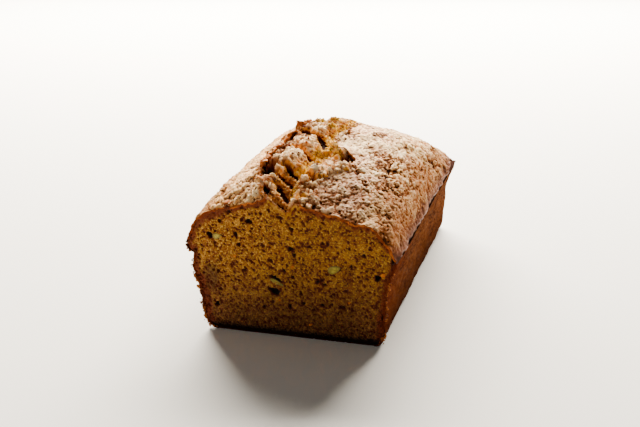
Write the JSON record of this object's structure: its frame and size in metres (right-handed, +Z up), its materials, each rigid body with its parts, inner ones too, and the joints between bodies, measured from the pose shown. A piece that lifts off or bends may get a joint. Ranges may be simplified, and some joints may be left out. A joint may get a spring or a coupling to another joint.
{
  "type": "pumpkin bread loaf",
  "caption": "Tin loaf of pumpkin bread, cut square across one end, with a domed and split brown crust over a golden crumb and a flat bottom to stand on",
  "frame": {"origin": "middle of the loaf's footprint on the surface that it stands on", "axes": "+Z up, +Y along the loaf away from the cut face, +X to the right when looking at the cut face from the front"},
  "size_m": [0.1192, 0.214, 0.0916],
  "materials": {
    "crust": "baked loaf crust, dry and pitted, warm brown with a faint pale sheen on top",
    "tin_crust": "crust baked against the tin, fine grained, orange brown going darker to the bottom",
    "split": "torn crumb inside the split, toasted ribs with golden yellow edges",
    "crumb": "moist golden olive crumb with fine dark pores, cut clean",
    "seed": "cut pumpkin seed, satin yellow green"
  },
  "bodies": {
    "root": {"loaf": "crust"}
  },
  "joints": []
}
